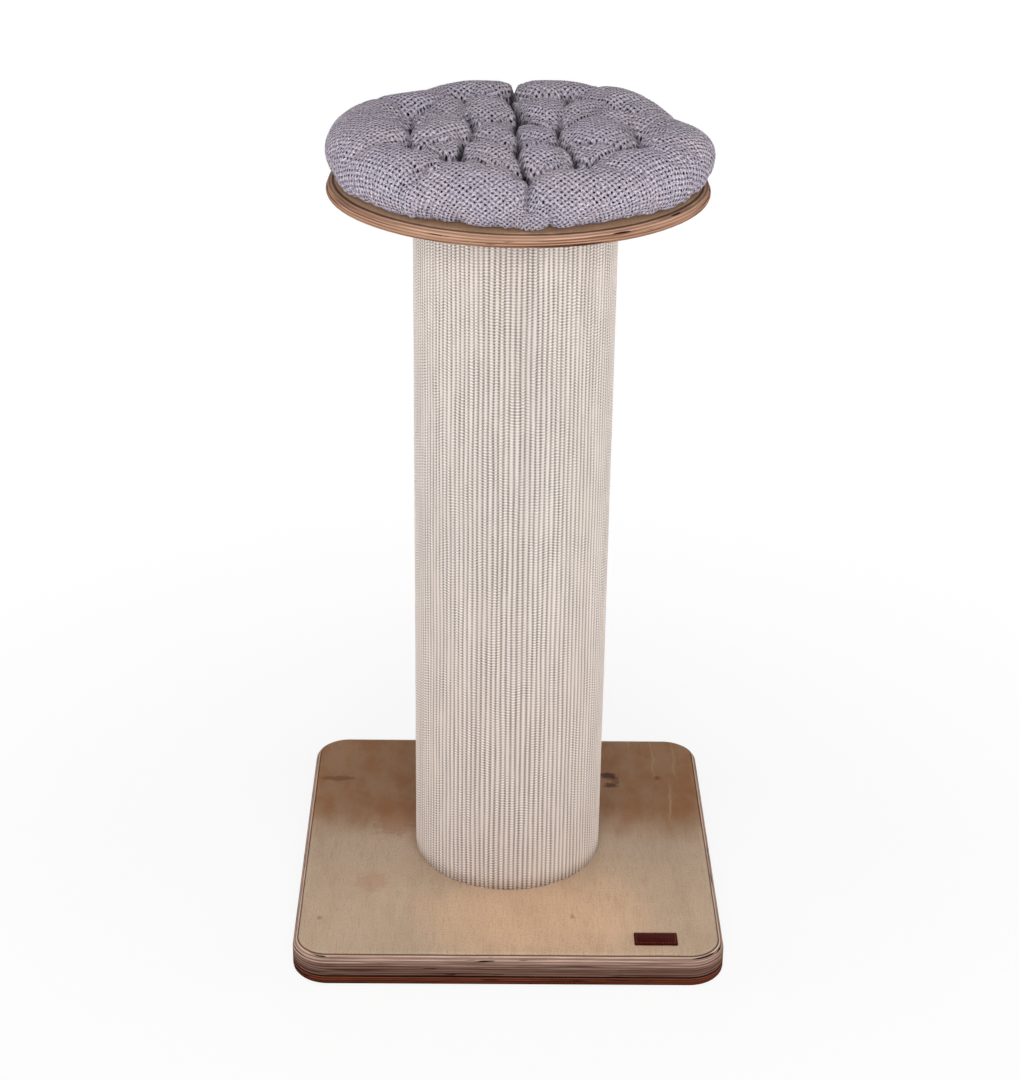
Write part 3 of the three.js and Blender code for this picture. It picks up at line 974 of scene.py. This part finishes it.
    def _lay_cloth(self, mesh: bpy.types.Mesh) -> None:
        """Stores where each point lies on the cut cloth: as far out as the way over the cover.

        Args:
            mesh: The blank.
        """
        points = points_of(mesh) - self.middle
        outline = self._profile()
        steps = np.hypot(*np.diff(outline, axis=0).T)
        way = np.concatenate([[0.0], np.cumsum(steps)])
        samples = 700
        fine = np.linspace(0.0, way[-1], samples)
        radius, height = np.interp(fine, way, outline[:, 0]), np.interp(fine, way, outline[:, 1])
        around = np.hypot(points[:, 0], points[:, 1])
        apart = (around[:, None] - radius) ** 2 + (points[:, 2][:, None] - height) ** 2
        out = fine[np.argmin(apart, axis=1)]
        share = out * (1 - self.easing * out**2) / np.maximum(around, 1e-6)
        flat = np.stack([points[:, 0] * share, points[:, 1] * share, np.zeros_like(share)], axis=1)
        under = points[:, 2] < 1.0 * MM
        flat[under] = points[under]
        store_vectors(mesh, "cloth", *flat.T)

    def _drawn(self, flat: np.ndarray, fold: float, tuft: float) -> tuple[np.ndarray, np.ndarray]:
        """How far the tufts and folds draw down each point of the top.

        Args:
            flat: The points' places from the cushion's centre.
            fold: Half the width of a fold.
            tuft: Half the width of a tuft's hollow.

        Returns:
            The drop of each point, and its distance from the nearest fold.
        """
        sharpness = 5.0
        x, y = flat[:, 0] / (13 * MM), flat[:, 1] / (15 * MM)
        bend = np.stack([np.sin(y + 1.3) * np.cos(0.6 * x), np.sin(x - 0.4) * np.cos(0.7 * y)], axis=1)
        flat = flat + bend * self.sway
        drop = np.zeros(len(flat))
        nearest = np.full(len(flat), np.inf)
        for crease in self.creases:
            first, last = self.tufts[crease.start], self.tufts[crease.end]
            start = np.array([first.x, first.y]) * MM
            along = np.array([last.x, last.y]) * MM - start
            share = np.clip((flat - start) @ along / (along @ along), 0, 1)
            away = np.hypot(*(flat - start - share[:, None] * along).T)
            rise = 4 * share * (1 - share)
            ends = first.depth * (1 - share) + last.depth * share
            depth = (ends * (1 - rise) + crease.depth * rise) * MM
            drop += (depth * np.clip(1 - away / fold, 0, 1) ** 2) ** sharpness
            nearest = np.minimum(nearest, away)
        for point in self.tufts.values():
            away = np.hypot(flat[:, 0] - point.x * MM, flat[:, 1] - point.y * MM)
            drop += (point.depth * MM * np.clip(1 - away / tuft, 0, 1) ** 2) ** sharpness
        return drop ** (1 / sharpness), nearest

    def _draw_down(self, mesh: bpy.types.Mesh) -> np.ndarray:
        """Draws the tufts and folds into the blank.

        Args:
            mesh: The blank, whose points move.

        Returns:
            Whether thread or the seat holds each point while the cover is stuffed.
        """
        points = points_of(mesh)
        place = points - self.middle
        drop, nearest = self._drawn(place[:, :2], self.fold_width, self.tuft_width)
        top = smooth(*self.top_band, place[:, 2])
        points[:, 2] -= drop * top
        set_points(mesh, points)
        sewn = (nearest < self.sewn_reach) & (top > 0.6) & (drop > self.sewn_depth)
        seated = (place[:, 2] < 1.5 * MM) & (np.hypot(place[:, 0], place[:, 1]) < self.seat)
        return sewn | seated

    def _stuff(self, mesh: bpy.types.Mesh, pinned: np.ndarray, plain: np.ndarray) -> bpy.types.Mesh:
        """Blows the drawn cover up as cloth.

        Args:
            mesh: The drawn blank.
            pinned: Whether each point is held.
            plain: The points before they were drawn down.

        Returns:
            The stuffed mesh.
        """
        drawn = points_of(mesh)
        cover = placed(mesh.name, mesh)
        held = cover.vertex_groups.new(name="held")
        held.add(np.nonzero(pinned)[0].tolist(), 1.0, "ADD")
        modifier = cover.modifiers.new("stuffing", "CLOTH")
        settings = set_all(
            modifier.settings,
            quality=6,
            mass=0.3,
            tension_stiffness=15,
            compression_stiffness=15,
            shear_stiffness=5,
            bending_stiffness=0.15,
            use_pressure=True,
            uniform_pressure_force=self.pressure,
            vertex_group_mass=held.name,
            shrink_min=-self.slack,
        )
        settings.effector_weights.gravity = 0
        modifier.collision_settings.use_collision = False
        modifier.point_cache.frame_end = self.frames
        scene = bpy.context.scene
        scene.frame_end = self.frames
        for frame in range(1, self.frames + 1):
            scene.frame_set(frame)
        stuffed = evaluated_mesh(cover)
        swell = points_of(stuffed) - drawn
        length = np.linalg.norm(swell, axis=1)
        around = np.hypot(*(plain - self.middle)[:, :2].T)
        share = 1 - (1 - self.rim_share) * smooth(*self.rim_band, around)
        share = share * np.minimum(1, self.furthest / np.maximum(length, 1e-9))
        set_points(stuffed, drawn + swell * share[:, None])
        return stuffed

    def _press_grooves(self, mesh: bpy.types.Mesh) -> None:
        """Pulls the folds and tufts narrow and sharp again, wrinkles the cloth round each tuft and stores
        the painted shade of the folds.

        Args:
            mesh: The stuffed cover.
        """
        points = points_of(mesh)
        place = points - self.middle
        drop, _ = self._drawn(place[:, :2], self.groove_width, self.groove_width * 2)
        crinkle = np.zeros(len(points))
        for index, point in enumerate(self.tufts.values()):
            x, y = place[:, 0] - point.x * MM, place[:, 1] - point.y * MM
            away = np.hypot(x, y)
            bowl = point.depth * MM * self.bowl * np.clip(1 - away / self.bowl_width, 0, 1) ** 2
            drop = np.maximum(drop, drop * 0.5 + bowl)
            fade = smooth(3 * MM, 8 * MM, away) * smooth(26 * MM, 10 * MM, away)
            crinkle += np.sin(np.arctan2(y, x) * (5 + index % 3) + index * 1.7) * fade
        upper = smooth(*self.groove_band, place[:, 2])
        # Painted shade: how deep each point lies in a fold or tuft, which the cloth darkens by.
        shut, _ = self._drawn(place[:, :2], self.groove_width * 2, self.groove_width * 4.5)
        hollow = smooth(2 * MM, 11 * MM, shut) * upper
        store_vectors(mesh, "hollow", hollow, 0 * hollow, 0 * hollow)
        points[:, 2] -= (drop * self.groove + crinkle * self.wrinkle) * upper
        for sag in self.sags:
            away = np.hypot(place[:, 0] - sag.x * MM, place[:, 1] - sag.y * MM) / (sag.reach * MM)
            points[:, 2] -= smooth(1, 0, away) * sag.depth * MM * smooth(0, 50 * MM, place[:, 2])
        set_points(mesh, points)

    def _gather_foot(self, mesh: bpy.types.Mesh) -> None:
        """Draws the wall in at each pucker, so that the cushion's foot runs in scallops.

        Args:
            mesh: The stuffed cover.
        """
        points = points_of(mesh)
        place = points - self.middle
        around = np.hypot(place[:, 0], place[:, 1])
        heading = np.arctan2(place[:, 1], place[:, 0])
        inward, lift = np.zeros(len(points)), np.zeros(len(points))
        for pucker in self.puckers:
            apart = np.angle(np.exp(1j * (heading - math.radians(pucker.angle)))) * around
            fold = np.clip(1 - np.abs(apart) / (pucker.width * MM), 0, 1) ** 1.6 * (pucker.depth * MM)
            reach = pucker.height * MM
            inward = np.maximum(inward, fold * smooth(reach, reach * 0.4, place[:, 2]))
            lift = np.maximum(lift, fold * smooth(14 * MM, 2 * MM, place[:, 2]))
        outer = smooth(*self.wall_band, around)
        points[:, :2] -= place[:, :2] / np.maximum(around, 1e-6)[:, None] * (inward * outer)[:, None]
        points[:, 2] += lift * outer * self.foot_lift
        set_points(mesh, points)

    def _raise_weave(self, mesh: bpy.types.Mesh) -> None:
        """Raises the weave: a row of bumps, longer one way and then the other, with pits between.

        Args:
            mesh: The stuffed cover.
        """
        cloth = rows_of(mesh.attributes["cloth"].data)
        warp = (cloth[:, 0] + cloth[:, 1]) / self.weave_gap
        weft = (cloth[:, 0] - cloth[:, 1]) / self.weave_gap
        odd = (np.floor(warp) + np.floor(weft)) % 2 > 0.5
        across, along = np.where(odd, warp, weft), np.where(odd, weft, warp)
        rise = np.abs(np.sin(math.pi * across)) ** 0.5 * np.abs(np.sin(math.pi * along)) ** 1.1
        points = points_of(mesh)
        upper = smooth(1 * MM, 4 * MM, points[:, 2] - self.middle[2])
        inward = (1 - rise) * self.weave_depth * upper
        points -= rows_of(mesh.vertex_normals) * inward[:, None]
        set_points(mesh, points)


@dataclass
class LeatherTag:
    """The bare leather tag with a stitched border."""

    corner: float = 1.5 * MM  # radius of the tag's corners
    edge: float = 0.5 * MM  # radius of its upper edge
    border: float = 2.2 * MM  # distance of the stitches from the edge
    stitch: float = 1.9 * MM  # length of a stitch
    gap: float = 1.1 * MM  # gap between stitches
    thread: float = 0.55 * MM  # thickness of the thread
    shine: float = 0.04  # strength of its mirror light

    def build(self) -> list[bpy.types.Object]:
        """Makes the tag and its stitches."""
        low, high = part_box("leather_tag")
        size = high - low
        middle = (low + high) / 2
        work = bmesh.new()
        bmesh.ops.create_cube(work, size=1)
        bmesh.ops.scale(work, verts=work.verts, vec=size)
        bmesh.ops.translate(work, verts=work.verts, vec=middle)
        upright = [e for e in work.edges if abs(e.verts[0].co.z - e.verts[1].co.z) > size.z / 2]
        self._bevel(work, upright, self.corner, 4)
        rim = [e for e in work.edges if all(v.co.z > middle.z for v in e.verts)]
        self._bevel(work, rim, self.edge, 2)
        leather = Grained(
            "tag_leather", srgb(66, 10, 5), srgb(38, 5, 2), 900, 0.25 * MM, 0.7, shine=self.shine
        )
        tag = piece_of(mesh_from(work), "leather_tag_finished", leather.build())
        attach(tag, Body.POST.value)
        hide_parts("leather_tag")
        return [tag, self._stitches(low, high)]

    @staticmethod
    def _bevel(work: bmesh.types.BMesh, edges: list[bmesh.types.BMEdge], radius: float, steps: int) -> None:
        """Rounds some edges."""
        round_off = {"profile": 0.5, "affect": "EDGES", "material": -1}
        bmesh.ops.bevel(work, geom=edges, offset=radius, segments=steps, **round_off)

    def _stitches(self, low: Vector, high: Vector) -> bpy.types.Object:
        """Makes the row of stitches round the tag.

        Args:
            low: The tag's lowest corner.
            high: Its highest corner.

        Returns:
            The stitches in one piece.
        """
        work = bmesh.new()
        left, right = low.x + self.border, high.x - self.border
        near, far = low.y + self.border, high.y - self.border
        places = ((left, near), (right, near), (right, far), (left, far))
        corners = [Vector((x, y, high.z + self.thread * 0.1)) for x, y in places]
        for start, end in zip(corners, corners[1:] + corners[:1]):
            count = round((end - start).length / (self.stitch + self.gap))
            heading = math.atan2(end.y - start.y, end.x - start.x)
            for index in range(count):
                self._stitch(work, start.lerp(end, (index + 0.5) / count), heading)
        thread = Grained(
            "tag_thread", srgb(160, 92, 68), srgb(96, 42, 28), 2400, 0.1 * MM, 0.8, shine=self.shine
        )
        piece = piece_of(mesh_from(work), "tag_stitches", thread.build())
        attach(piece, Body.POST.value)
        return piece

    def _stitch(self, work: bmesh.types.BMesh, centre: Vector, heading: float) -> None:
        """Adds one stitch: a small bead drawn out along the seam."""
        shape = (
            Matrix.Translation(centre)
            @ Matrix.Rotation(heading, 4, "Z")
            @ Matrix.Diagonal((self.stitch / 2, self.thread / 2, self.thread / 2, 1))
        )
        bmesh.ops.create_uvsphere(work, u_segments=8, v_segments=5, radius=1, matrix=shape)


@dataclass
class Hardware:
    """Finishes for the frame's own nodes that stay as they are."""

    def build(self) -> None:
        """Gives the tube, the plugs and the fastenings their materials."""
        plugs = Grained("raw_plywood", srgb(214, 186, 146), srgb(178, 146, 108), 300, 0.2 * MM, 0.8)
        card = Grained(
            "cardboard", srgb(186, 156, 118), srgb(158, 128, 92), 260, 0.15 * MM, 0.9, stretch=(1, 1, 4)
        )
        zinc = Grained("bright_zinc", srgb(206, 208, 210), srgb(176, 178, 182), 700, 0.05 * MM, 0.35, 1.0)
        yellow = Grained("yellow_zinc", srgb(214, 190, 128), srgb(176, 146, 92), 700, 0.05 * MM, 0.4, 1.0)
        finishes = {
            "bottom_plug": plugs.build(),
            "core_tube": card.build(),
            "base_bolt": zinc.build(),
            "base_insert": yellow.build(),
        }
        finishes["top_plug"] = finishes["bottom_plug"]
        for screw in ("underboard_screw", "platform_screw", "plug_screw"):
            finishes[screw] = finishes["base_insert"]
        for node in [o for o in bpy.data.objects if "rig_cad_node" in o]:
            for start, material in finishes.items():
                if node.name.startswith(start):
                    node.data.materials.clear()
                    node.data.materials.append(material)


# ---- stage ----


@dataclass(frozen=True)
class Lamp:
    """A square soft lamp."""

    name: str
    place: tuple[float, float, float]  # where it hangs
    aim: tuple[float, float, float]  # what it faces
    size: float  # its side
    power: float  # its power in watts

    def build(self) -> None:
        """Hangs the lamp."""
        data = set_all(bpy.data.lights.new(self.name, "AREA"), size=self.size, energy=self.power)
        beam = Vector(self.aim) - Vector(self.place)
        turn = beam.to_track_quat("-Z", "Y").to_matrix().to_4x4()
        placed(self.name, data).matrix_world = Matrix.Translation(self.place) @ turn


@dataclass
class Stage:
    """Camera, soft studio light and a pale floor."""

    place: tuple[float, float, float] = (-0.0309, -2.2398, 1.4664)  # where the camera stands
    yaw: float = 0.739  # how far it looks to the right of +Y, in degrees
    pitch: float = 25.357  # how far it looks down
    roll: float = 0.770  # how far it leans
    focal: float = 2365.25  # focal length in pixels of the photograph's frame
    frame_height: float = 1080.0  # the frame's long side in pixels
    sensor: float = 36.0  # width of the camera's sensor
    floor_size: float = 40.0  # side of the floor
    floor_white: float = 0.88  # how white the camera sees the floor close to the object
    lamps: tuple[Lamp, ...] = (
        Lamp("key", (0.0, -0.5, 2.4), (0.0, -0.1, 0.0), 0.5, 13.0),
        Lamp("front", (0.0, -2.2, 1.3), (0.0, 0.0, 0.5), 1.2, 34.0),
        Lamp("left", (-2.2, -0.35, 0.5), (0.0, 0.0, 0.55), 1.2, 25.0),
        Lamp("right", (2.2, -0.35, 0.5), (0.0, 0.0, 0.55), 1.2, 26.0),
        Lamp("back", (0.0, 2.4, 0.55), (0.0, 0.0, 0.5), 1.2, 17.0),
    )

    def build(self) -> None:
        """Sets up camera, lamps, world and floor."""
        scene = bpy.context.scene
        scene.view_settings.view_transform = "Standard"
        self._camera()
        self._world()
        self._floor()
        for lamp in self.lamps:
            lamp.build()

    def _camera(self) -> None:
        """Stands the camera where the photograph's stood."""
        yaw, pitch, roll = (math.radians(a) for a in (self.yaw, self.pitch, self.roll))
        ahead = Vector((math.sin(yaw) * math.cos(pitch), math.cos(yaw) * math.cos(pitch), -math.sin(pitch)))
        level_right = Vector((math.cos(yaw), -math.sin(yaw), 0))
        level_up = level_right.cross(ahead)
        right = math.cos(roll) * level_right + math.sin(roll) * level_up
        up = math.cos(roll) * level_up - math.sin(roll) * level_right
        data = bpy.data.cameras.new("camera")
        set_all(data, sensor_width=self.sensor, lens=self.focal * self.sensor / self.frame_height)
        camera = placed("camera", data)
        turn = Matrix((right, up, -ahead)).transposed().to_4x4()
        camera.matrix_world = Matrix.Translation(self.place) @ turn
        bpy.context.scene.camera = camera

    @staticmethod
    def _world() -> None:
        """A dim, slightly warm surround that the camera and gloss see as white."""
        g = Graph(bpy.data.worlds.new("surround"))
        bpy.context.scene.world = g.owner
        rays = [g.node("ShaderNodeLightPath", output=f"Is {kind} Ray") for kind in ("Camera", "Glossy")]
        dim, white = (
            g.node("ShaderNodeBackground", None, {"Color": colour, "Strength": strength})
            for colour, strength in (((1.0, 0.92, 0.86, 1.0), 0.15), (WHITE, 1.0))
        )
        mixed = g.node("ShaderNodeMixShader", None, {0: g.math("MAXIMUM", *rays), 1: dim, 2: white})
        g.finish(mixed, "ShaderNodeOutputWorld")

    def _floor(self) -> None:
        """A pale floor that keeps the object's shadow close to it and is white further off."""
        g = Graph(bpy.data.materials.new("pale_floor"))
        camera = g.node("ShaderNodeLightPath", output="Is Camera Ray")
        matte = g.node("ShaderNodeBsdfDiffuse", None, {"Color": (0.8, 0.8, 0.8, 1.0)})
        white = g.node("ShaderNodeEmission", None, {"Color": WHITE, "Strength": 1.0})
        away = g.step(0.25, 1.1, g.length(g.place()))
        share = camera * (self.floor_white + away * (1 - self.floor_white))
        shader = g.node("ShaderNodeMixShader", None, {0: share, 1: matte, 2: white})
        work = bmesh.new()
        bmesh.ops.create_grid(work, x_segments=2, y_segments=2, size=self.floor_size / 2)
        floor = piece_of(mesh_from(work), "floor", g.finish(shader))


def cushion_pattern() -> Cushion:
    """The cushion with its two rings of tufts, the folds between them and the gathers at its foot."""
    places = {
        "back": (-9, 118, 23), "back_left": (-61, 110, 18), "left_back": (-106, 53, 22),
        "left": (-107, 9, 20), "left_front": (-105, -64, 18), "front_left": (-63, -93, 23),
        "front": (3, -131, 21), "front_right": (54, -108, 21), "right_front": (109, -67, 21),
        "right": (115, -23, 21), "right_back": (105, 61, 20), "back_right": (52, 108, 20),
        "inner_back": (-2, 37, 19), "inner_back_left": (-46, 21, 19), "inner_left": (-47, -41, 19),
        "inner_front": (-4, -63, 18), "inner_right": (38, -51, 21), "inner_back_right": (36, 3, 21),
        "back_rim": (-4, 173, 6), "front_rim": (8, -181, 5), "left_rim": (-92, -133, 4),
    }
    folds = (
        ("back_rim", "back", 9), ("back", "inner_back", 10), ("inner_back", "inner_front", 7),
        ("back_left", "inner_back_left", 3), ("inner_back_left", "inner_left", 6),
        ("inner_left", "front_left", 11), ("inner_back", "inner_back_left", 15),
        ("inner_left", "inner_front", 14), ("front_left", "front", 8), ("inner_front", "front", 8),
        ("inner_back", "inner_back_right", 15), ("back_right", "inner_back_right", 3),
        ("inner_back_right", "inner_right", 6), ("inner_front", "inner_right", 14),
        ("inner_right", "front_right", 10), ("front", "front_right", 9), ("back", "back_right", 8),
        ("back", "back_left", 8), ("back_left", "left_back", 6), ("left_back", "left", 6),
        ("left", "left_front", 4), ("left_front", "front_left", 11), ("front_right", "right_front", 6),
        ("right_front", "right", 6), ("right", "right_back", 3), ("right_back", "back_right", 5),
        ("left_back", "inner_back_left", 9), ("left_front", "inner_left", 7),
        ("inner_right", "right_front", 7), ("inner_back_right", "right_back", 7),
        ("front", "front_rim", 6), ("front_left", "left_rim", 7),
    )
    tufts = {name: Tuft(*values) for name, values in places.items()}
    dice = random.Random(11)
    puckers = [Pucker(-81.8, 4.5, 6, 42), Pucker(-117, 4, 6, 38), Pucker(-108.6, 3, 5, 24)]
    puckers += [Pucker(-122, 3.2, 5, 24), Pucker(-96, 2.4, 6, 16)]
    for step in range(40):
        angle = step * 9 + dice.uniform(-3, 3)
        puckers.append(Pucker(angle, dice.uniform(1.2, 3.2), dice.uniform(4, 9), dice.uniform(10, 26)))
    sags = [Sag(172, 62, 95, 14), Sag(-120, 130, 80, 4), Sag(0, -190, 100, 5)]
    sags += [Sag(-70, -175, 120, 12), Sag(70, -175, 120, 12)]
    creases = [Crease(*fold) for fold in folds]
    return Cushion(tufts=tufts, creases=creases, puckers=puckers, sags=sags)


def main() -> None:
    """Builds the looks round the frame and reports each piece."""
    logging.basicConfig(level=logging.INFO, format="%(message)s")
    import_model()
    Stage().build()
    makers: list[tuple[str, Callable[[], Any]]] = [
        ("boards", Boards().build),
        ("sisal mat", SisalMat().build),
        ("cushion", cushion_pattern().build),
        ("leather tag", LeatherTag().build),
        ("hardware", Hardware().build),
    ]
    for name, make in makers:
        make()
        LOG.info("built the %s", name)


if __name__ == "__main__":
    main()
